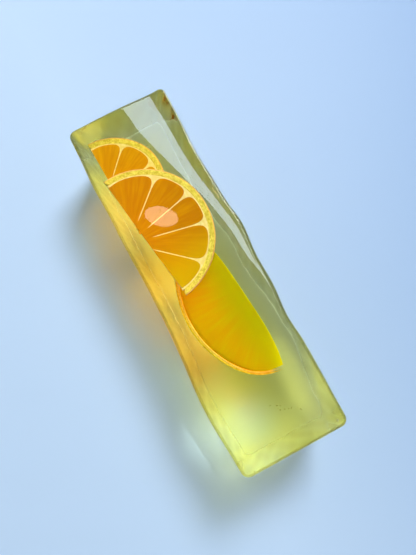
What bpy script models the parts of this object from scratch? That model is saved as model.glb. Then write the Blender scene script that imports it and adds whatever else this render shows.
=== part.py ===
"""A clear citrus ice bar without a stick, lying on its flat base.

Metres, +Z up. The bar runs along X, its base rests on Z = 0, and the origin is
on the base under the middle of the bar. The walls lean in towards the base, as
on anything that leaves a tapered mould, and the long sides are softly wavy. The
upright edges and the rim of the top are rounded, and the base edge is crisp.
"""

import math

import bmesh
import bpy

# Driving sizes
BAR_LENGTH = 0.1518
BAR_WIDTH = 0.0436
BAR_HEIGHT = 0.0340
END_LEAN = 0.0030
LEFT_LEAN = 0.0038
RIGHT_LEAN = 0.0044
END_SLANT = 0.0002
TOP_DISH = 0.0001

# Rounding radii of the edges
UPRIGHT_ROUND = 0.0030
RIM_ROUND = 0.0015
ROUND_SEGMENTS = 4

# Mesh divisions of the softly bent block
CUTS_ALONG = 47
CUTS_ACROSS = 5
CUTS_UP = 3

# Waves of the long sides: middle along the bar, half width, height outwards
RIGHT_WAVES = (
    (-0.044, 0.012, -0.0008),
    (-0.009, 0.009, 0.0014),
    (0.015, 0.006, 0.0003),
    (0.031, 0.008, -0.0009),
)
LEFT_WAVES = (
    (-0.050, 0.011, 0.0007),
    (-0.024, 0.012, 0.0005),
    (0.047, 0.022, 0.0021),
)
# Waves of the right wall's lean, which bring its foot in and out
FOOT_WAVES = (
    (0.034, 0.022, -0.0050),
    (-0.058, 0.026, 0.0026),
    (0.078, 0.010, 0.0016),
)

BAR_COLOR = (0.72, 0.76, 0.16, 1.0)
BAR_ROUGHNESS = 0.04


def clear_scene():
    """Removes every object, so that the scene holds only the bar."""
    for item in list(bpy.data.objects):
        bpy.data.objects.remove(item, do_unlink=True)


def make_material(name, color, roughness):
    """A clear glossy material with the colour of the tinted ice."""
    material = bpy.data.materials.new(name)
    material.use_nodes = True
    shader = material.node_tree.nodes["Principled BSDF"]
    shader.inputs["Base Color"].default_value = color
    shader.inputs["Roughness"].default_value = roughness
    shader.inputs["Metallic"].default_value = 0.0
    shader.inputs["Transmission Weight"].default_value = 0.9
    shader.inputs["IOR"].default_value = 1.45
    return material


def wave(x, bumps):
    """The sum of a few smooth bumps at the place x along the bar."""
    return sum(height * math.exp(-(((x - middle) / width) ** 2)) for middle, width, height in bumps)


def cut_across(mesh, normal, size, cuts):
    """Cuts a block into equal slices along one axis."""
    for step in range(1, cuts + 1):
        offset = size * (step / (cuts + 1) - 0.5)
        geometry = mesh.verts[:] + mesh.edges[:] + mesh.faces[:]
        point = [offset * part for part in normal]
        bmesh.ops.bisect_plane(mesh, geom=geometry, plane_co=point, plane_no=normal)


def bend(point):
    """Moves a point of the plain block to its place on the real bar."""
    along = point.x / (BAR_LENGTH / 2)
    across = point.y / (BAR_WIDTH / 2)
    up = point.z / BAR_HEIGHT + 0.5
    down = 1 - up
    x = along * (BAR_LENGTH / 2 - END_LEAN * down)
    x -= END_SLANT * across * max(0.0, -along)
    right = BAR_WIDTH / 2 + wave(x, RIGHT_WAVES) - (RIGHT_LEAN + wave(x, FOOT_WAVES)) * down
    left = -BAR_WIDTH / 2 - wave(x, LEFT_WAVES) + LEFT_LEAN * down
    y = (left + right) / 2 + across * (right - left) / 2
    dish = TOP_DISH * (1 - along**2) * (1 - across**2)
    z = up * (BAR_HEIGHT - dish * up**2)
    return x, y, z


def on_edge(value, size):
    """True for a coordinate on either face of the plain block."""
    return abs(abs(value) - size / 2) < size * 1e-4


def rounding_of(first, second):
    """The rounding radius of one edge of the plain block, or zero inside a face."""
    ends = (first, second)
    on_end = all(on_edge(point.x, BAR_LENGTH) for point in ends)
    on_side = all(on_edge(point.y, BAR_WIDTH) for point in ends)
    on_top = all(point.z > BAR_HEIGHT * 0.49 for point in ends)
    if on_end and on_side:
        return UPRIGHT_ROUND
    if on_top and (on_end or on_side):
        return RIM_ROUND
    return 0.0


def make_bar(collection):
    """The bar: a sliced block, bent to shape, with its edges rounded."""
    block = bmesh.new()
    bmesh.ops.create_cube(block, size=1.0)
    bmesh.ops.scale(block, vec=(BAR_LENGTH, BAR_WIDTH, BAR_HEIGHT), verts=block.verts)
    cut_across(block, (1, 0, 0), BAR_LENGTH, CUTS_ALONG)
    cut_across(block, (0, 1, 0), BAR_WIDTH, CUTS_ACROSS)
    cut_across(block, (0, 0, 1), BAR_HEIGHT, CUTS_UP)

    weight = block.edges.layers.float.new("bevel_weight_edge")
    for edge in block.edges:
        radius = rounding_of(edge.verts[0].co, edge.verts[1].co)
        edge[weight] = radius / UPRIGHT_ROUND

    for vert in block.verts:
        vert.co = bend(vert.co)
    middle_x = (max(v.co.x for v in block.verts) + min(v.co.x for v in block.verts)) / 2
    middle_y = (max(v.co.y for v in block.verts) + min(v.co.y for v in block.verts)) / 2
    bmesh.ops.translate(block, vec=(-middle_x, -middle_y, 0), verts=block.verts)
    bmesh.ops.recalc_face_normals(block, faces=block.faces)

    mesh = bpy.data.meshes.new("ice_bar")
    block.to_mesh(mesh)
    block.free()
    mesh.shade_smooth()
    mesh.materials.append(make_material("citrus_ice", BAR_COLOR, BAR_ROUGHNESS))

    bar = bpy.data.objects.new("ice_bar", mesh)
    collection.objects.link(bar)
    rounding = bar.modifiers.new("rounded_edges", "BEVEL")
    rounding.limit_method = "WEIGHT"
    rounding.width = UPRIGHT_ROUND
    rounding.segments = ROUND_SEGMENTS
    rounding.use_clamp_overlap = False
    return bar


def main():
    """Builds the whole object in its own collection."""
    clear_scene()
    collection = bpy.data.collections.new("citrus_ice_bar")
    bpy.context.scene.collection.children.link(collection)
    make_bar(collection)


main()
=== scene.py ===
# %% [markdown]
# # A clear citrus ice bar
# The object is one bar of clear, yellow-green ice with no stick. Two half slices and one wedge
# of orange are sunk in it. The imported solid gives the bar's size and place, and this lesson
# builds the fine surface, the fruit and the finishes around it.

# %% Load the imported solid
import math
import bpy
import numpy as np
from mathutils import Matrix, Vector


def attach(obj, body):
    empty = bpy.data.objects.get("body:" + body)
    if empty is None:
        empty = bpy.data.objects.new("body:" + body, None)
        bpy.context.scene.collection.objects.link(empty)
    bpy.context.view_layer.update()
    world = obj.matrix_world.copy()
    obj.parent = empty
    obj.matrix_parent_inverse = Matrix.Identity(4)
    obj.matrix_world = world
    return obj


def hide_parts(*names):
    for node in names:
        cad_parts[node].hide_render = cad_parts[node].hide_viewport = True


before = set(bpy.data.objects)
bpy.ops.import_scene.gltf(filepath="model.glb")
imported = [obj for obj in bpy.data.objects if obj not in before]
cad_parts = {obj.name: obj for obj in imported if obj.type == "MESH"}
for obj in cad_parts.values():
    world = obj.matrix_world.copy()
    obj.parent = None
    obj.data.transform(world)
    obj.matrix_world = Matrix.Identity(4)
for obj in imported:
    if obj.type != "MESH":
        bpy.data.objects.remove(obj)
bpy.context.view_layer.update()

MM = 0.001

# %% [markdown]
# ## Helpers
# Every new piece is a grid of points worked out with numpy. One helper turns such a grid into
# a mesh: rows follow the profile, columns go round, the first and last rows close in a pole.

# %% Grid to mesh
def grid_mesh(name, points, material):
    """A closed surface from points[row, column]: quads between rows, columns closed in a ring,
    and a fan from the first and from the last row to the mean of that row."""
    rows, columns, _ = points.shape
    poles = np.stack([points[0].mean(0), points[-1].mean(0)])
    coords = np.concatenate([points.reshape(-1, 3), poles])
    index = np.arange(rows * columns).reshape(rows, columns)
    after = np.roll(index, -1, axis=1)
    quads = np.stack([index[:-1], after[:-1], after[1:], index[1:]], axis=-1).reshape(-1, 4)
    first = np.full(columns, rows * columns)
    last = first + 1
    start_fan = np.stack([first, after[0], index[0]], axis=-1)
    end_fan = np.stack([last, index[-1], after[-1]], axis=-1)
    loops = np.concatenate([quads.ravel(), start_fan.ravel(), end_fan.ravel()])
    sizes = np.concatenate([np.full(len(quads), 4), np.full(2 * columns, 3)])
    mesh = bpy.data.meshes.new(name)
    mesh.vertices.add(len(coords))
    mesh.vertices.foreach_set("co", coords.astype(np.float32).ravel())
    mesh.loops.add(len(loops))
    mesh.loops.foreach_set("vertex_index", loops.astype(np.int32))
    mesh.polygons.add(len(sizes))
    mesh.polygons.foreach_set("loop_start", (np.cumsum(sizes) - sizes).astype(np.int32))
    mesh.update(calc_edges=True)
    mesh.validate()
    mesh.shade_smooth()
    mesh.materials.append(material)
    piece = bpy.data.objects.new(name, mesh)
    bpy.context.scene.collection.objects.link(piece)
    return piece

# %% [markdown]
# Two closed grids can point inwards or outwards, depending on which way their rows run. The
# signed volume says which, and a piece with a negative one is turned round.

# %% Points, volume and facing
def read_points(mesh):
    """The coordinates of all points, one row each."""
    coords = np.empty(len(mesh.vertices) * 3, dtype=np.float32)
    mesh.vertices.foreach_get("co", coords)
    return coords.reshape(-1, 3)


def signed_volume(mesh):
    """One sixth of the sum of the triple products of every triangle's corners."""
    mesh.calc_loop_triangles()
    corners = np.empty(len(mesh.loop_triangles) * 3, dtype=np.int32)
    mesh.loop_triangles.foreach_get("vertices", corners)
    a, b, c = read_points(mesh)[corners.reshape(-1, 3)].transpose(1, 0, 2).astype(float)
    return float(np.einsum("ij,ij->i", a, np.cross(b, c)).sum() / 6)


def face_outwards(piece):
    """Turns the faces round if the volume comes out negative."""
    volume = signed_volume(piece.data)
    if volume < 0:
        piece.data.flip_normals()
    print(f"{piece.name}: {abs(volume) * 1e6:.2f} ml, {len(piece.data.polygons)} faces")
    return piece

# %% [markdown]
# ## Colours and nodes
# Colours are written as sRGB hex values, as read, and turned to linear light by one
# function. One more function adds a shader node with its settings and links.

# %% Colour and node helpers
def linear(hex_colour):
    """sRGB hex to linear RGBA, by the sRGB curve."""
    srgb = np.array([int(hex_colour[i:i + 2], 16) for i in (1, 3, 5)]) / 255
    light = np.where(srgb <= 0.04045, srgb / 12.92, ((srgb + 0.055) / 1.055) ** 2.4)
    return (*map(float, light), 1.0)


def add(tree, kind, settings=None, **inputs):
    """Adds one node. Settings are its properties. Inputs are socket values or links, named with
    underscores for spaces, or i0, i1 and so on by the socket's number."""
    node = tree.nodes.new(kind)
    for key, value in (settings or {}).items():
        setattr(node, key, value)
    for key, value in inputs.items():
        numbered = key[0] == "i" and key[1:].isdigit()
        socket = node.inputs[int(key[1:]) if numbered else key.replace("_", " ")]
        if isinstance(value, bpy.types.NodeSocket):
            tree.links.new(value, socket)
        else:
            socket.default_value = value
    return node


def new_material(name):
    """An empty node material, its tree and its output node."""
    material = bpy.data.materials.new(name)
    material.use_nodes = True
    material.node_tree.nodes.clear()
    return material, material.node_tree, material.node_tree.nodes.new("ShaderNodeOutputMaterial")

# %% [markdown]
# ## Clear sweet ice
# The bar is clear ice set from sweet citrus juice, released from a smooth tapered mould, so its
# skin is glossy and it bends light like glass of a low index. The juice takes the blue out of
# light that passes, a little more with every millimetre: that is a volume absorption, not a
# surface tint. Only the rounding of the rim is tinted olive, as painted shade: a dark outline
# that stands in for the look along the wall through most of the ice. Lamps shine through the
# bar, so a shadow ray meets a plain transparent surface and only the volume colours it. Half of
# the light that a matt surface scatters does the same. The three shares are how much of such
# light a face lets through: most at the top, less at the base, and least at the steep walls.

# %% The ice material
ICE_IOR = 1.42
SKIN_ROUGHNESS = 0.015
# the rim tint is painted shade: an olive dark outline along the rounded rim
RIM_PAINTED_SHADE = "#a09c58"
TOP_PASSES, BASE_PASSES, WALL_PASSES = 0.92, 0.72, 0.38
STEEP_FACE, LEVEL_FACE = 0.3, 0.9
SCATTERED_STRAIGHT = 0.5
JUICE_COLOUR, JUICE_PER_METRE = (0.931, 0.838, 0.0, 1), 32.0


def make_clear_ice():
    """Glossy refracting skin around a yellow-green absorbing volume."""
    material, tree, out = new_material("clear_sweet_ice")
    # the rim attribute places the painted shade: the skin turns olive on the rounded rim
    rim = add(tree, "ShaderNodeAttribute", {"attribute_name": "rim"})
    tint = add(tree, "ShaderNodeMix", {"data_type": "RGBA"}, i0=rim.outputs["Fac"],
               i6=(1, 1, 1, 1), i7=linear(RIM_PAINTED_SHADE))
    skin = add(tree, "ShaderNodeBsdfPrincipled", Base_Color=tint.outputs[2],
               Roughness=SKIN_ROUGHNESS, IOR=ICE_IOR, Transmission_Weight=1.0)
    place = add(tree, "ShaderNodeNewGeometry")
    facing = add(tree, "ShaderNodeSeparateXYZ", Vector=place.outputs["Normal"])
    upright = add(tree, "ShaderNodeMath", {"operation": "ABSOLUTE"}, i0=facing.outputs["Z"])
    level = add(tree, "ShaderNodeMapRange", Value=place.outputs["Backfacing"],
                To_Min=BASE_PASSES, To_Max=TOP_PASSES)
    share = add(tree, "ShaderNodeMapRange", Value=upright.outputs[0], From_Min=STEEP_FACE,
                From_Max=LEVEL_FACE, To_Min=WALL_PASSES, To_Max=level.outputs[0])
    passing = add(tree, "ShaderNodeBsdfTransparent", Color=share.outputs[0])
    path = add(tree, "ShaderNodeLightPath")
    straight = add(tree, "ShaderNodeMath", {"operation": "MULTIPLY_ADD", "use_clamp": True},
                   i0=path.outputs["Is Diffuse Ray"], i1=SCATTERED_STRAIGHT,
                   i2=path.outputs["Is Shadow Ray"])
    mix = add(tree, "ShaderNodeMixShader", i0=straight.outputs[0],
              i1=skin.outputs[0], i2=passing.outputs[0])
    juice = add(tree, "ShaderNodeVolumeAbsorption", Color=JUICE_COLOUR, Density=JUICE_PER_METRE)
    tree.links.new(mix.outputs[0], out.inputs["Surface"])
    tree.links.new(juice.outputs[0], out.inputs["Volume"])
    return material


clear_ice = make_clear_ice()
print("ice:", clear_ice.name, "with an index of", ICE_IOR)

# %% [markdown]
# ## The bar's skin
# The bar is a tapered block with softly wavy long sides. It could be a subdivided cube, but a
# carried outline keeps the roundings even. So a rounded rectangle is carried along a profile:
# out over the base, up the wall, over the rim and in across the top. Each wave is a bell curve,
# given by its middle along the bar, its half width and its height. The shoulder is where the
# top starts to fall towards the right wall: its place along, its place across, and its width.

# %% Driving sizes of the bar
LENGTH, WIDTH, HEIGHT = 151.8 * MM, 43.6 * MM, 34.0 * MM
END_LEAN, LEFT_LEAN, RIGHT_LEAN = 3.0 * MM, 3.8 * MM, 4.4 * MM
SLANT, DISH = 0.2 * MM, 0.10 * MM
UPRIGHT, RIM, FOOT = 3.0 * MM, 1.6 * MM, 0.06 * MM
RIGHT_WAVES = np.array([(-44, 12, -0.8), (-9, 9, 1.4), (15, 6, 0.3), (31, 8, -0.9)]) * MM
LEFT_WAVES = np.array([(-50, 11, 0.7), (-24, 12, 0.5), (47, 22, 2.1)]) * MM
FOOT_WAVES = np.array([(34, 22, -5.0), (-58, 26, 2.6), (78, 10, 1.6)]) * MM
SHOULDER = np.array([(-76, 9.6, 8.0), (-62, 11.6, 8.0), (-48, 13.2, 5.0), (-36, 14.6, 2.8),
                     (-24, 17.4, 2.0), (-10, 19.6, 1.6), (4, 20.2, 1.8), (12, 20.8, 0.9),
                     (30, 21.2, 0.8), (46, 20.0, 0.8), (56, 17.8, 0.9), (64, 15.0, 1.0),
                     (76, 10.0, 1.0)]) * MM
SHOULDER_SLOPE = 0.13
FLOW_MARKS = ((0.05, 0.25, 6.1), (0.07, -0.40, 10.3), (0.08, 0.55, 17.0))
FLOW_ROOM = 0.2 * MM
print(f"bar: {LENGTH / MM:.1f} x {WIDTH / MM:.1f} x {HEIGHT / MM:.1f} mm before its waves")

# %% [markdown]
# The shapes along the bar are small functions of the place x, or of the place s along a wall.

# %% Waves, flow marks and shoulder line
def bumps(x, waves):
    """The sum of bell curves, each with its middle, half width and height."""
    middle, width, height = waves.T[:, :, None, None]
    return (height * np.exp(-(((x[None] - middle) / width) ** 2))).sum(0)


def flutes(s, height, seed):
    """Shallow flow marks that run down a wall: three sine waves along the wall, each with its
    depth in mm, its slant with the height and its length in mm, together up to 0.2 mm deep."""
    return MM * sum(depth * np.sin(2 * math.pi * (s + slant * height) / (length * MM) + turn * seed)
                    for turn, (depth, slant, length) in enumerate(FLOW_MARKS, start=1))


def smooth_line(x, knots):
    """The place and width of the shoulder at x: straight steps between the knots, read every
    half millimetre, then the mean over a soft window of 9 mm, which rounds the corners."""
    ticks = np.linspace(-90, 90, 361) * MM
    reach = 9
    window = np.hanning(2 * reach + 1)
    window /= window.sum()
    rows = []
    for values in knots.T[1:]:
        steps = np.interp(ticks, knots[:, 0], values)
        rows.append(np.interp(x, ticks[reach:-reach], np.convolve(steps, window, "valid")))
    return rows

# %% [markdown]
# The outline is a rectangle with round corners. Its points are evenly spaced along the edge, so
# that the roundings and the straight sides get quads of the same width.

# %% Outline
def rounded_rectangle(half_x, half_y, radius, count):
    """Points round a rectangle with round corners, evenly spaced along its edge and starting
    at the middle of the right end. half_x, half_y and radius may be columns, one row each."""
    straight_x, straight_y = half_x - radius, half_y - radius
    corner = radius * math.pi / 2
    s = (np.arange(count) + 0.5) / count * 4
    side, part = np.floor(s), s - np.floor(s)

    def quarter(share):
        """A share of the way from the middle of the right end to that of the long side."""
        length = (straight_x + straight_y + corner) * share
        along_y = np.clip(length, 0, straight_y)
        turn = np.clip((length - straight_y) / np.maximum(corner, 1e-9), 0, 1) * math.pi / 2
        along_x = np.clip(length - straight_y - corner, 0, None)
        return straight_x + radius * np.cos(turn) - along_x, along_y + radius * np.sin(turn)

    # the second and fourth quarters run the same curve backwards
    x, y = quarter(np.where(side % 2 == 1, 1 - part, part))
    return x * np.where((side == 1) | (side == 2), -1, 1), y * np.where(side >= 2, -1, 1)

# %% [markdown]
# The profile says, row by row, how far the outline is drawn in and how high it lies. Rows are
# close together at the rim, where the surface turns fast, and wide apart in the middle.

# %% Profile
POINTS_ROUND = 480
BASE_ROWS, ROUND_ROWS, WALL_ROWS, TOP_ROWS = 28, 9, 26, 72


def ease(count):
    """Values from 0 to 1, closer together near 1."""
    return np.sin(np.linspace(0, math.pi / 2, count))


def bar_grid():
    """Rows of the profile: base, round foot, wall, round rim, top."""
    arc = np.linspace(0, math.pi / 2, ROUND_ROWS)
    base = ease(BASE_ROWS)[1:-1]
    wall = np.linspace(0, 1, WALL_ROWS)[1:-1]
    top = ease(TOP_ROWS)[1:-1][::-1]
    share = np.concatenate([base, np.ones(2 * ROUND_ROWS + len(wall)), top])
    inset = np.concatenate([np.full(len(base), FOOT), FOOT * (1 - np.sin(arc)),
                            np.zeros(len(wall)), RIM * (1 - np.cos(arc)),
                            np.full(len(top), RIM)])
    height = np.concatenate([np.zeros(len(base)), FOOT * (1 - np.cos(arc)),
                             FOOT + (HEIGHT - RIM - FOOT) * wall,
                             HEIGHT - RIM + RIM * np.sin(arc), np.full(len(top), HEIGHT)])
    half_x, half_y, radius = [(size - inset)[:, None] for size in (LENGTH / 2, WIDTH / 2, UPRIGHT)]
    x, y = rounded_rectangle(half_x, half_y, radius, POINTS_ROUND)
    z = np.broadcast_to(height[:, None], x.shape)
    return np.stack([x * share[:, None], y * share[:, None], z], axis=-1)

# %% [markdown]
# The same bend as in the solid then gives the block its waves, the lean of the walls and the
# dished top. Two finer things are extra. Shallow flow marks run down the walls, as where slush
# froze against the mould. And the top falls at the shoulder, which mirrors the sky as a veil.

# %% Bend
def bend(points):
    """Leans the walls in towards the base, adds the waves of the long sides, and dishes the top,
    with the formulas of the solid. The flow marks and the drop at the shoulder are extra."""
    along = points[..., 0] / (LENGTH / 2)
    across = points[..., 1] / (WIDTH / 2)
    up = points[..., 2] / HEIGHT
    height, calm = points[..., 2], 1 - up**6
    end_marks = flutes(points[..., 1], height, 1.0) * calm
    x = along * (LENGTH / 2 - END_LEAN * (1 - up) + end_marks - FLOW_ROOM)
    x = x - SLANT * across * np.maximum(0, -along)
    right = WIDTH / 2 + bumps(x, RIGHT_WAVES) - (RIGHT_LEAN + bumps(x, FOOT_WAVES)) * (1 - up)
    left = -WIDTH / 2 - bumps(x, LEFT_WAVES) + LEFT_LEAN * (1 - up)
    right, left = right + flutes(x, height, 2.0) * calm, left - flutes(x, height, 4.0) * calm
    y = (left + right) / 2 + across * (right - left) / 2
    dish = DISH * (1 - along**2) * (1 - across**2)
    crest, width = smooth_line(x, SHOULDER)
    drop = SHOULDER_SLOPE * width * (1 + np.tanh((y - crest) / width)) * (1 - across**8)
    z = up * (HEIGHT - (dish + drop) * up**2)
    x = x - (x.max() + x.min()) / 2
    y = y - (y.max() + y.min()) / 2
    return np.stack([x, y, z], axis=-1)

# %% [markdown]
# The rim's painted shade needs to know where the rim is. A point attribute says so, which the
# material reads. It is worked out from the plain block, where the height tells a point's place.

# %% Build the bar
RIM_SHADE_MIDDLE, RIM_SHADE_REACH = 0.75, 0.45


# painted shade: this mask says where the skin is tinted olive as a dark rim outline
def mark_painted_rim_shade(piece, height):
    """A point attribute called rim: one on the rounding of the rim, fading down the wall and in
    across the top, by the root of one less the distance from the rounding's middle."""
    place = (height - (HEIGHT - RIM)) / RIM
    value = np.clip(1 - np.abs(place - RIM_SHADE_MIDDLE) / RIM_SHADE_REACH, 0, 1) ** 0.5 * (height < HEIGHT)
    value = np.append(value.ravel(), [0.0, 0.0])
    layer = piece.data.attributes.new("rim", "FLOAT", "POINT")
    layer.data.foreach_set("value", value.astype(np.float32))


plain = bar_grid()
bar = face_outwards(grid_mesh("ice_bar_skin", bend(plain), clear_ice))
mark_painted_rim_shade(bar, plain[..., 2])
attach(bar, "root")
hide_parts("ice_bar")

# %% [markdown]
# ## Orange flesh, pith and peel
# The flesh is raw orange: juice sacs like long drops, all pointing at the core, under a thin wet
# skin. The pith is soft and white, the peel yellow and pored, and its outer rind is thin and
# waxy. Each piece carries a UV map with the place round the core across and the distance from
# the core up, both in metres, so the sacs follow the fruit. Stretched cells with cloudy noise
# draw the sacs, and the same cells unstretched draw pores.

# %% Fruit material
FRUIT_IOR = 1.38
LIT_THROUGH_MM = 2.0


def fruit_material(name, dark, light, passed, marks, bump_mm, roughness, glow, tint=None,
                   tint_along="core", tint_span=(0.0, 0.02), contrast=(0.35, 0.95)):
    """Streaky or speckled fruit tissue. Marks are how many there are to a metre round the core
    and out from it. The tint is full at the first end of its span and gone at the second, along
    the distance from the core edge or along the bar. Thin wet fruit lets some light through, so
    a shadow ray takes the passed colour at each surface."""
    material, tree, out = new_material(name)
    place = add(tree, "ShaderNodeUVMap", {"uv_map": "core"})
    stretched = add(tree, "ShaderNodeMapping", Vector=place.outputs[0], Scale=(*marks, 1))
    sacs = add(tree, "ShaderNodeTexVoronoi", {"feature": "SMOOTH_F1"}, Vector=stretched.outputs[0],
               Scale=1.0, Smoothness=0.4)
    cloud = add(tree, "ShaderNodeTexNoise", Vector=stretched.outputs[0], Scale=0.35, Detail=3.0)
    both = add(tree, "ShaderNodeMath", {"operation": "MULTIPLY_ADD"}, i0=sacs.outputs["Distance"],
               i1=0.55, i2=cloud.outputs[0])
    ramp = add(tree, "ShaderNodeValToRGB", Fac=both.outputs[0])
    for stop, position, shade in zip(ramp.color_ramp.elements, contrast, (light, dark)):
        stop.position, stop.color = position, linear(shade)
    colour = ramp.outputs[0]
    if tint:
        where, axis = place.outputs[0], "Y"
        if tint_along == "bar":
            where, axis = add(tree, "ShaderNodeTexCoord").outputs["Object"], "X"
        axes = add(tree, "ShaderNodeSeparateXYZ", Vector=where)
        share = add(tree, "ShaderNodeMapRange", {"interpolation_type": "SMOOTHSTEP"},
                    Value=axes.outputs[axis], From_Min=tint_span[0], From_Max=tint_span[1],
                    To_Min=1.0, To_Max=0.0)
        mixed = add(tree, "ShaderNodeMix", {"data_type": "RGBA"}, i0=share.outputs[0], i6=colour,
                    i7=linear(tint))
        colour = mixed.outputs[2]
    relief = add(tree, "ShaderNodeBump", Height=both.outputs[0], Strength=0.5,
                 Distance=bump_mm * MM)
    tissue = add(tree, "ShaderNodeBsdfPrincipled", Base_Color=colour, Normal=relief.outputs[0],
                 Roughness=roughness, IOR=FRUIT_IOR, Specular_IOR_Level=0.02,
                 Subsurface_Weight=glow, Subsurface_Scale=LIT_THROUGH_MM * MM,
                 Subsurface_Radius=(1.0, 0.5, 0.15))
    path = add(tree, "ShaderNodeLightPath")
    through = add(tree, "ShaderNodeBsdfTransparent", Color=linear(passed))
    mix = add(tree, "ShaderNodeMixShader", i0=path.outputs["Is Shadow Ray"],
              i1=tissue.outputs[0], i2=through.outputs[0])
    tree.links.new(mix.outputs[0], out.inputs["Surface"])
    return material

# %% [markdown]
# Sacs are about 1 mm wide and 8 mm long in the slices, and larger in the wedge, which is cut
# along them. Pores of pith and peel are round, 0.5 to 1 mm. All of it lies in ice, which takes
# most of the gloss away, so the surfaces mirror almost nothing. The upper slice turns yellower
# towards the near end, and the wedge turns greener towards its core edge.

# %% Flesh, pith and peel
FLESH_LIGHT = "#ffe6a0"
flesh = fruit_material(
    "raw_orange_flesh", "#c07c00", "#d09400", FLESH_LIGHT, (1000, 130), 0.10, 0.4, 0.15,
    tint="#cca600", tint_along="bar", tint_span=(0.0, -0.022), contrast=(0.3, 0.9))
far_flesh = fruit_material(
    "deep_orange_flesh", "#cc8c00", "#e0a806", FLESH_LIGHT, (1000, 130), 0.10, 0.4, 0.15)
wedge_flesh = fruit_material(
    "thin_orange_flesh", "#ffc800", "#ffdc00", FLESH_LIGHT, (700, 70), 0.10, 0.35, 0.2,
    tint="#dcd400", tint_span=(0.002, 0.018))
pith = fruit_material(
    "soft_orange_pith", "#ecd888", "#fbeeb4", "#fff4d8", (900, 900), 0.05, 0.6, 0.1)
peel = fruit_material(
    "pored_orange_peel", "#cab638", "#f6e870", "#ffeeb0", (2200, 2200), 0.10, 0.4, 0.1,
    contrast=(0.55, 1.1))
rind = fruit_material(
    "thin_orange_rind", "#e8b868", "#f4d090", FLESH_LIGHT, (1500, 1500), 0.05, 0.4, 0.1)
print("fruit:", ", ".join(kind.name for kind in (flesh, far_flesh, wedge_flesh, pith, peel, rind)))

# %% [markdown]
# ## Half slices
# A half slice is a plate of pith with a peel round its curved side, and in it the cut segments
# stand a hair proud. The slice was cut a little beside its core, so the skins between the
# segments meet outside the piece. Every part is a plate between two curves, an inner one and an
# outer one, that are distances from the core at each angle. So one function makes them all.

# %% The two outlines of a slice
def slice_outline(core, centre, radius, cut_deg):
    """Two functions of the angle round the core. The first is the distance to the straight cut
    through the centre, the second is the distance to the circle round the centre."""
    away = np.array(centre) - np.array(core)
    square = np.array([-math.sin(math.radians(cut_deg)), math.cos(math.radians(cut_deg))])

    def to_cut(angle):
        return (away @ square) / np.maximum(np.cos(angle) * square[0] + np.sin(angle) * square[1],
                                            1e-3)

    def to_rim(angle):
        forward = away[0] * np.cos(angle) + away[1] * np.sin(angle)
        return forward + np.sqrt(radius**2 - away @ away + forward**2)

    return to_cut, to_rim


def open_angles(to_cut, to_rim, width):
    """The first and last angle at which the cut stays at least a width inside the rim."""
    angle = np.radians(np.linspace(1, 179, 3561))
    inside = angle[to_cut(angle) < to_rim(angle) - width]
    return math.degrees(inside[0]), math.degrees(inside[-1])

# %% [markdown]
# The UV map is what turns the sacs towards the core. It is worked out from the points of a
# finished mesh, so it fits every piece of fruit.

# %% Map round the core
SAC_MAP_RADIUS = 20 * MM


def store_map(piece, flat_map):
    """A UV map called core, worked out from the coordinates of the points."""
    mesh = piece.data
    corner = np.empty(len(mesh.loops), dtype=np.int32)
    mesh.loops.foreach_get("vertex_index", corner)
    uv = np.stack(flat_map(read_points(mesh)), axis=-1)[corner]
    mesh.uv_layers.new(name="core").data.foreach_set("uv", uv.astype(np.float32).ravel())


def core_map(piece, core):
    """Across: the angle round the core times a typical radius. Up: the distance from the core."""
    def flat_map(coords):
        away = coords[:, :2] - np.array(core)
        return np.arctan2(away[:, 1], away[:, 0]) * SAC_MAP_RADIUS, np.hypot(*away.T)
    store_map(piece, flat_map)

# %% [markdown]
# The plan of each plate is a rounded square that is bent into place: one way it goes out from
# the core, the other way round it. The higher its power, the sharper its corners, so a segment
# gets round outer corners and sharp inner ones. The gap between two segments shows the skin
# between them. Towards the core the gap closes, and the skins run out.

# %% A plate between two curves
PLATE_COLUMNS, CAP_ROWS, EDGE_ROWS = 160, 19, 5
SKINS_END, SKINS_FADE, SKINS_OVERLAP = 9.5 * MM, 2.5 * MM, -0.8


def squared_circle(turn, power):
    """A superellipse at even angles: the unit circle, divided by the sum of the powers of its
    cosine and sine, drawn to the root."""
    size = (np.abs(np.cos(turn)) ** power + np.abs(np.sin(turn)) ** power) ** (-1 / power)
    return size * np.cos(turn), size * np.sin(turn)


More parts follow.
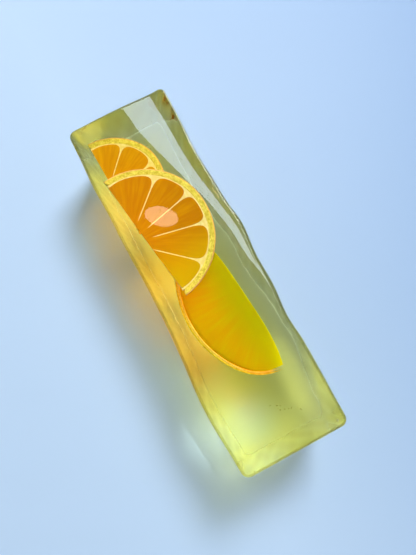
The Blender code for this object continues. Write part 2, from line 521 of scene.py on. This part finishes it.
def plate(name, material, core, inner, outer, first_deg, last_deg, gap, middle_z, thickness,
          edge_mm, outer_corner, inner_corner, wobble, seed):
    """A plate from the inner to the outer curve and between two angles. A superellipse gives the
    plan its corners, the edge rounds by a quarter circle, and on the flat faces u and v shrink
    to a pole. The radius is the middle of the two curves plus the half span, less the inset,
    times u. The angle is the middle angle plus the half angle, less the inset, times v."""
    arc = np.linspace(0, math.pi / 2, EDGE_ROWS + 1)
    cap = np.linspace(0, 1, CAP_ROWS + 1)[1:]
    full, none = np.ones(CAP_ROWS), np.zeros(CAP_ROWS)
    edge = edge_mm * MM
    share = np.concatenate([cap, np.ones(2 * EDGE_ROWS), cap[::-1]])
    inset = edge * np.concatenate([full, 1 - np.sin(arc[1:]), 1 - np.cos(arc[:-1]), full])
    lift = thickness / 2 - edge * np.concatenate(
        [none, 1 - np.cos(arc[1:]), 1 - np.sin(arc[:-1]), none])
    lift *= np.repeat([-1, 1], CAP_ROWS + EDGE_ROWS)
    turn = (np.arange(PLATE_COLUMNS) + 0.5) / PLATE_COLUMNS * 2 * math.pi
    u, v = squared_circle(turn, np.where(np.cos(turn) > 0, outer_corner, inner_corner))
    u, v, inset = u * share[:, None], v * share[:, None], inset[:, None]
    middle, half = math.radians(first_deg + last_deg) / 2, math.radians(last_deg - first_deg) / 2
    guess = middle + v * half
    span = np.maximum(outer(guess) - inner(guess), 0.02 * MM) / 2
    radius = outer(guess) - span + np.maximum(span - inset, 0.0) * u
    fade = np.clip((radius - SKINS_END) / SKINS_FADE, SKINS_OVERLAP, 1)
    angle = middle + v * np.maximum(half - (gap * fade + inset) / radius, 0.0)
    radius = radius * (1 + wobble * np.sin(3 * angle + seed) + wobble * 0.6 * np.sin(7 * angle))
    flat = np.stack([radius * np.cos(angle), radius * np.sin(angle)], axis=-1)
    z = np.broadcast_to((middle_z + lift)[:, None], flat.shape[:2])
    points = np.concatenate([flat + np.array(core), z[..., None]], axis=-1)
    piece = face_outwards(grid_mesh(name, points, material))
    core_map(piece, core)
    return piece

# %% [markdown]
# A slice then is a rind, a peel, a plate of pith and its segments. The parts reach a little
# under each other, so that no slit opens between them. The two slices lie flat at their own
# depth under the top, and cut across their fruits at their own places.

# %% Build the two half slices
RIND_MM, PEEL_FROM_MM, PEEL_MM, PITH_FROM_MM, FLESH_FROM_MM = 0.5, 0.4, 2.5, 2.3, 2.95
FLESH_OPEN_MM, SKIN_HALF = 3.5, 0.2 * MM
WOBBLE = 0.004


def half_slice(label, tissue, core, centre, radius, cut_deg, z, thickness, membranes, seed):
    """Rind, peel, pith and segments of one half slice lying flat."""
    to_cut, to_rim = slice_outline(core, centre, radius, cut_deg)

    def rim_less(width):
        return lambda angle: to_rim(angle) - width * MM

    def sheet(part, material, inner, outer, open_mm, thinner):
        """A plate without gaps, as far as the cut stays open_mm inside the rim."""
        return plate(f"{label}_{part}", material, core, inner, outer,
                     *open_angles(to_cut, to_rim, open_mm * MM), 0, z, thickness - thinner * MM,
                     edge_mm=0.2, outer_corner=40, inner_corner=40, wobble=WOBBLE, seed=seed)

    def crescent(part, material, deep, shallow, thinner):
        """A curved strip that follows the rim, from one depth to another, both in mm."""
        return sheet(part, material, lambda a: np.maximum(to_cut(a), to_rim(a) - deep * MM),
                     rim_less(shallow), shallow + 0.1, thinner)

    pieces = [crescent("rind", rind, RIND_MM, 0.0, 0.1),
              crescent("peel", peel, PEEL_MM, PEEL_FROM_MM, 0.0),
              sheet("pith", pith, to_cut, rim_less(PITH_FROM_MM), PITH_FROM_MM + 0.1, 0.2)]
    first, last = open_angles(to_cut, to_rim, FLESH_OPEN_MM * MM)
    edges = [first, *membranes, last]
    for number, (low, high) in enumerate(zip(edges[:-1], edges[1:])):
        pieces.append(plate(f"{label}_segment_{number}", tissue, core, to_cut,
                            rim_less(FLESH_FROM_MM), low, high, SKIN_HALF, z, thickness,
                            edge_mm=0.12, outer_corner=5.0, inner_corner=30, wobble=WOBBLE,
                            seed=seed))
    slots = ["yellow_peel", "yellow_peel", "pale_pith"] + ["orange_flesh"] * (len(edges) - 1)
    for piece, slot in zip(pieces, slots):
        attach(piece, "root")
    return pieces


def in_mm(*values):
    """Millimetres to metres."""
    return tuple(value * MM for value in values)


upper = half_slice("upper_slice", flesh, core=in_mm(-23.5, -19.7), centre=in_mm(-22.95, -13.3),
                   radius=28.3 * MM, cut_deg=8.2, z=28.6 * MM, thickness=2.6 * MM,
                   membranes=(48.5, 78.3, 103.5, 131.8), seed=0.4)
far = half_slice("far_slice", far_flesh, core=in_mm(-45.5, -20.0), centre=in_mm(-48.3, -15.3),
                 radius=22.0 * MM, cut_deg=2.5, z=22.8 * MM, thickness=2.6 * MM,
                 membranes=(40, 72, 102, 137.0), seed=2.0)
print("pieces of the upper and the far slice:", len(upper), len(far))

# %% [markdown]
# ## The wedge
# The third piece of fruit is a wedge cut from pole to pole. Its section is a narrow sector that
# is carried along the core edge, and it shrinks to nothing at both poles. The flesh, the pith
# and the peel are three such sectors, one outside the other.

# %% Shape of the wedge
WEDGE_MIDDLE = np.array([15.5, 11.6, 25.6]) * MM
WEDGE_TURN = math.radians(5.0)
WEDGE_HALF, WEDGE_DEPTH = 31.8 * MM, 29.6 * MM
WEDGE_TOP_DEG, WEDGE_LOW_DEG = 26.0, 47.0
WEDGE_ROWS, WEDGE_COLUMNS, WEDGE_CORNER = 90, 96, 12
BOW_MIDDLE, BOW_ENDS, BOW_POWER = 0.5 * MM, 3.4 * MM, 3.5
FAN_BEHIND, FAN_RADIUS = 14 * MM, 25 * MM


def wedge_map(piece):
    """Across: the angle round a point 14 mm behind the core edge, times 25 mm. Up: the depth
    from the core edge along the cut face."""
    def flat_map(coords):
        away = coords[:, :2] - WEDGE_MIDDLE[:2]
        along = away[:, 0] * math.cos(WEDGE_TURN) + away[:, 1] * math.sin(WEDGE_TURN)
        depth = away[:, 0] * math.sin(WEDGE_TURN) - away[:, 1] * math.cos(WEDGE_TURN)
        return (np.arctan2(along, depth + FAN_BEHIND) * FAN_RADIUS,
                depth / math.cos(math.radians(WEDGE_TOP_DEG)))
    store_map(piece, flat_map)


def wedge_part(name, material, near, far_share, thinner_deg):
    """A sector's section carried along the core edge: at each place the sector's radius is that
    of a circle, and a rounded square of radius and angle gives the outline."""
    top_deg, low_deg = WEDGE_TOP_DEG + thinner_deg, WEDGE_LOW_DEG - thinner_deg
    along = np.sin(np.linspace(-math.pi / 2, math.pi / 2, WEDGE_ROWS)[1:-1])
    reach = WEDGE_DEPTH * np.sqrt(1 - along**2)
    turn = (np.arange(WEDGE_COLUMNS) + 0.5) / WEDGE_COLUMNS * 2 * math.pi
    u, v = squared_circle(turn, WEDGE_CORNER)
    radius = reach[:, None] * (near + (far_share - near) * (u + 1) / 2)
    slope = np.radians((top_deg + low_deg) / 2 + v * (low_deg - top_deg) / 2)
    x = np.broadcast_to(along[:, None] * WEDGE_HALF * far_share, radius.shape)
    bow = BOW_MIDDLE - BOW_ENDS * np.abs(along[:, None]) ** BOW_POWER
    y = bow - radius * np.cos(slope)
    z = -radius * np.sin(slope)
    turned_x = x * math.cos(WEDGE_TURN) - y * math.sin(WEDGE_TURN)
    turned_y = x * math.sin(WEDGE_TURN) + y * math.cos(WEDGE_TURN)
    points = np.stack([turned_x, turned_y, z], axis=-1) + WEDGE_MIDDLE
    piece = face_outwards(grid_mesh(name, points, material))
    wedge_map(piece)
    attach(piece, "root")
    return piece

# %% [markdown]
# The three parts overlap a little in radius, and the pith is a hair thinner than the others, so
# that its faces stay inside theirs.

# %% Build the wedge
wedge_part("wedge_flesh", wedge_flesh, 0.03, 0.955, 0.0)
wedge_part("wedge_pith", pith, 0.945, 0.975, 0.3)
wedge_part("wedge_peel", peel, 0.97, 1.0, 0.0)

# %% [markdown]
# ## Air bubbles
# Tiny bubbles froze in along the end of the bar and beside the far slice. Each is a small round
# hollow, so its surface bends light the other way: the index of air divided by that of the ice.
# One ball is made as a grid, and its points and faces are repeated at each place.

# %% The bubbles' shape and material
BALL_ROWS, BALL_COLUMNS = 8, 12


def make_bubbles(places, radii):
    """One mesh with a ball at each place: the unit ball's points times the radius, plus the
    place. The ball is 8 rows of 12 points, closed by fans at both poles."""
    up, turn = np.meshgrid(np.linspace(0, math.pi, BALL_ROWS + 2)[1:-1],
                           np.arange(BALL_COLUMNS) * (2 * math.pi / BALL_COLUMNS), indexing="ij")
    ball = np.stack([np.sin(up) * np.cos(turn), np.sin(up) * np.sin(turn), np.cos(up)], axis=-1)
    unit = grid_mesh("air_bubbles", ball, clear_ice)
    coords = read_points(unit.data)
    faces = [tuple(face.vertices) for face in unit.data.polygons]
    bpy.data.objects.remove(unit)
    points = (places[:, None] + radii[:, None, None] * coords).reshape(-1, 3)
    shifted = [tuple(corner + number * len(coords) for corner in face)
               for number in range(len(places)) for face in faces]
    mesh = bpy.data.meshes.new("air_bubbles")
    mesh.from_pydata(points.tolist(), [], shifted)
    mesh.shade_smooth()
    piece = bpy.data.objects.new("air_bubbles", mesh)
    bpy.context.scene.collection.objects.link(piece)
    return face_outwards(piece)


def make_air():
    """Clear air seen from the ice around it."""
    material, tree, out = new_material("air_in_ice")
    hollow = add(tree, "ShaderNodeBsdfPrincipled", Base_Color=(1, 1, 1, 1), Roughness=0.0,
                 IOR=1 / ICE_IOR, Transmission_Weight=1.0)
    path = add(tree, "ShaderNodeLightPath")
    passing = add(tree, "ShaderNodeBsdfTransparent")
    mix = add(tree, "ShaderNodeMixShader", i0=path.outputs["Is Shadow Ray"],
              i1=hollow.outputs[0], i2=passing.outputs[0])
    tree.links.new(mix.outputs[0], out.inputs["Surface"])
    return material

# %% [markdown]
# Two loose rows of bubbles lie 6 to 7 mm under the top. A seeded random draw shifts each bubble
# a little and gives it its size. One larger bubble has its own place in the near right corner.

# %% Build the bubbles
NEAR_COUNT, FAR_COUNT = 14, 12
SCATTER, CORNER_RADIUS_MM = 0.7 * MM, 0.40


def bubble_row(from_xy, to_xy, z, count):
    """Evenly spaced places from one point to another at one height, in mm."""
    return np.stack([np.linspace(from_xy[0], to_xy[0], count),
                     np.linspace(from_xy[1], to_xy[1], count), np.full(count, z)], axis=-1)


chance = np.random.default_rng(7)
spots = np.concatenate([bubble_row((57, -1), (64, 9), 28, NEAR_COUNT),
                        bubble_row((-64, -2), (-56, 6), 27, FAR_COUNT),
                        [[73.0, 18.6, 31.0]]]) * MM
spots[:-1] += chance.normal(0, SCATTER, (len(spots) - 1, 3))
sizes = np.append(chance.uniform(0.12, 0.28, len(spots) - 1), CORNER_RADIUS_MM) * MM
bubbles = make_bubbles(spots, sizes)
bubbles.data.materials.append(make_air())
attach(bubbles, "root")
print("bubbles:", len(spots))

# %% [markdown]
# ## Floor, light and camera
# The bar lies on a plain pale board, a hair below its base. The board is a little darker to the
# right, painted shade for the light falling off across it, and one ramp across it gives that.

# %% Floor
FLOOR_HALF, FLOOR_DROP = 1.5, -0.3 * MM
# where the board's painted shade is darkest and where it is lightest, along Y
FLOOR_PAINTED_SHADE_Y, FLOOR_PAINTED_LIGHT_Y = 0.155, -0.02


def make_floor():
    """A flat pale board a hair below the base."""
    material, tree, out = new_material("pale_painted_board")
    place = add(tree, "ShaderNodeTexCoord")
    axes = add(tree, "ShaderNodeSeparateXYZ", Vector=place.outputs["Object"])
    # painted shade: the board's colour darkens towards the right as light falls off across it
    shade = add(tree, "ShaderNodeMapRange", Value=axes.outputs["Y"], From_Min=FLOOR_PAINTED_SHADE_Y,
                From_Max=FLOOR_PAINTED_LIGHT_Y)
    painted_falloff = add(tree, "ShaderNodeMix", {"data_type": "RGBA"}, i0=shade.outputs[0],
               i6=linear("#85a7cf"), i7=linear("#bdd7f2"))
    paint = add(tree, "ShaderNodeBsdfPrincipled", Base_Color=painted_falloff.outputs[2], Roughness=0.6)
    tree.links.new(paint.outputs[0], out.inputs["Surface"])
    mesh = bpy.data.meshes.new("floor")
    corners = [(x * FLOOR_HALF, y * FLOOR_HALF, FLOOR_DROP)
               for x, y in ((-1, -1), (1, -1), (1, 1), (-1, 1))]
    mesh.from_pydata(corners, [], [(0, 1, 2, 3)])
    mesh.materials.append(material)
    floor = bpy.data.objects.new("floor", mesh)
    bpy.context.scene.collection.objects.link(floor)


make_floor()
print("floor:", 2 * FLOOR_HALF, "m square")

# %% [markdown]
# A pale room lights the bar from all round, brighter from the sides than from straight above,
# because the top would mirror a bright ceiling. One large soft window stands at the upper right
# and gives the soft shadow.

# %% Room light
ROOM_STRENGTH = ((0.1, 0.32), (0.6, 0.32), (0.93, 0.05))


def make_room():
    """A pale world whose strength depends on how steeply the ray goes up."""
    world = bpy.data.worlds.new("pale_room")
    world.use_nodes = True
    room = world.node_tree
    direction = add(room, "ShaderNodeTexCoord")
    rise = add(room, "ShaderNodeSeparateXYZ", Vector=direction.outputs["Generated"])
    strength = add(room, "ShaderNodeValToRGB", Fac=rise.outputs[2])
    strength.color_ramp.elements.new(0.6)
    for stop, (position, value) in zip(strength.color_ramp.elements, ROOM_STRENGTH):
        stop.position, stop.color = position, (value, value, value, 1)
    room.links.new(strength.outputs[0], room.nodes["Background"].inputs["Strength"])
    room.nodes["Background"].inputs["Color"].default_value = linear("#f4faff")
    bpy.context.scene.world = world


def area_light(name, place, wide, high, watts, colour, shape="RECTANGLE"):
    """An area light at place that faces straight down."""
    lamp = bpy.data.lights.new(name, "AREA")
    lamp.shape, lamp.size, lamp.size_y = shape, wide, high
    lamp.energy, lamp.color = watts, linear(colour)[:3]
    item = bpy.data.objects.new(name, lamp)
    item.location = place
    bpy.context.scene.collection.objects.link(item)
    return item


make_room()
window = area_light("window", (-1.30, 1.62, 2.15), 1.1, 1.0, 110.0, "#fdfeff")
window.rotation_euler = (-window.location).to_track_quat("-Z", "Y").to_euler()
window.visible_transmission = False
print("window:", round(window.location.length, 2), "m away")

# %% [markdown]
# A wet top also mirrors what hangs over it. Two bright shapes are only seen as such gleams: a long
# skylight, which makes the pale veil along the right shoulder, and a small oval ceiling lamp,
# which makes the peach-coloured spot on the upper slice. They light no matt surface. Each one's
# watts are its brightness times pi times its area.

# %% Gleams
def gleam(name, place, wide, high, brightness, colour, turn_deg=0.0, shape="RECTANGLE"):
    """A bright shape overhead that only shows as a gleam, turned in plan."""
    area = wide * high * (math.pi / 4 if shape == "ELLIPSE" else 1)
    item = area_light(name, place, wide, high, brightness * math.pi * area, colour, shape)
    item.rotation_euler = (0, 0, math.radians(turn_deg))
    item.visible_diffuse = item.visible_transmission = False
    print(f"{name}: {item.data.energy:.2f} W")


gleam("skylight_gleam", (-1.30, 0.80, 2.50), 2.60, 0.6, 12.5, "#ccdeff")
gleam("ceiling_lamp_gleam", (-0.605, 0.062, 2.0), 0.138, 0.078, 9.0, "#ffe4c8", 41, "ELLIPSE")

# %% [markdown]
# Narrow lamps stand for light that the bar bends and gathers. A greenish one makes the glow at
# the near left foot. A deep blue one falls only inside it, as the yellow ice takes most of that
# blue away and what is left turns the pool pale. Three golden ones light the left foot, where
# light comes down out of the fruit. Long narrow ones light the floor inside the feet of the left,
# right and near walls. The walls mirror it, so the bands along the outline come out as bright as
# on the real bar.

# %% Gathered light
def gathered_light(place, target, watts, degrees, colour, long=1.0, wide=1.0, blur=0.02):
    """A spot at place, aimed at the target, its cone made long along X or wide in Y."""
    lamp = bpy.data.lights.new("gathered_light", "SPOT")
    lamp.energy, lamp.color = watts, linear(colour)[:3]
    lamp.spot_size, lamp.spot_blend, lamp.shadow_soft_size = math.radians(degrees), 1.0, blur
    item = bpy.data.objects.new("gathered_light", lamp)
    item.location = place
    towards = Vector(target) - Vector(place)
    item.rotation_euler = towards.to_track_quat("-Z", "Y").to_euler()
    item.scale = (long, wide, 1.0)
    item.visible_glossy = item.visible_transmission = False
    bpy.context.scene.collection.objects.link(item)


FROM_THE_RIGHT = (0.03, 0.25, 0.75)
NARROW = dict(degrees=0.9, blur=0.003)

# the pool at the near left foot, green outside and pale inside
gathered_light(FROM_THE_RIGHT, (0.0600, -0.0255, 0.0), 38.0, 1.6, "#f8fff0", blur=0.010)
gathered_light(FROM_THE_RIGHT, (0.0625, -0.0125, 0.0), 95.0, 2.0, "#0a60ff", blur=0.006)
# gold below the fruit
for along in (-0.038, -0.020, -0.002):
    gathered_light((along, -0.050, 0.80), (along, -0.0180, 0.0), 30.0, 1.4, "#ffb81c")
# the floor that the left wall mirrors
for along, watts, long, colour in ((-0.042, 85.0, 5.0, "#ffe4b0"), (0.008, 100.0, 5.0, "#ffcc84"),
                                   (0.047, 34.0, 2.5, "#c8ffe0")):
    gathered_light((along, -0.450, 0.60), (along, -0.0130, 0.0), watts, colour=colour, long=long,
                   **NARROW)
# the floor that the right and the near wall mirror
gathered_light((0.055, 0.030, 0.80), (0.055, 0.0145, 0.0), 25.0, colour="#fff8f0", long=4.0,
               **NARROW)
gathered_light((0.075, 0.000, 0.80), (0.0700, 0.0040, 0.0), 10.0, colour="#f4f4ff", wide=3.0,
               **NARROW)
print("lamps:", len(bpy.data.lights))

# %% [markdown]
# The camera looks nearly straight down from a hand's height above the bar. Its place and its two
# directions were worked out from the outline of the bar, and the focal length is that of a
# common phone camera: 520 pixels in a frame of 555.

# %% Camera
CAMERA_PLACE = (31.81 * MM, -9.51 * MM, 231.09 * MM)
CAMERA_RIGHT = (0.4689931, 0.8829973, -0.0190065)
CAMERA_UP = (-0.8716656, 0.4662269, 0.1511013)
SENSOR_MM = 36.0
camera = bpy.data.cameras.new("camera")
camera.sensor_width = SENSOR_MM
camera.lens = 520 / 555 * SENSOR_MM
camera.clip_start = 0.005
eye = bpy.data.objects.new("camera", camera)
right, upward = Vector(CAMERA_RIGHT), Vector(CAMERA_UP)
turn = Matrix((right, upward, right.cross(upward))).transposed()
eye.matrix_world = Matrix.Translation(CAMERA_PLACE) @ turn.to_4x4()
bpy.context.scene.collection.objects.link(eye)
bpy.context.scene.camera = eye
bpy.context.scene.view_settings.view_transform = "Standard"
print("lens:", round(camera.lens, 1), "mm")
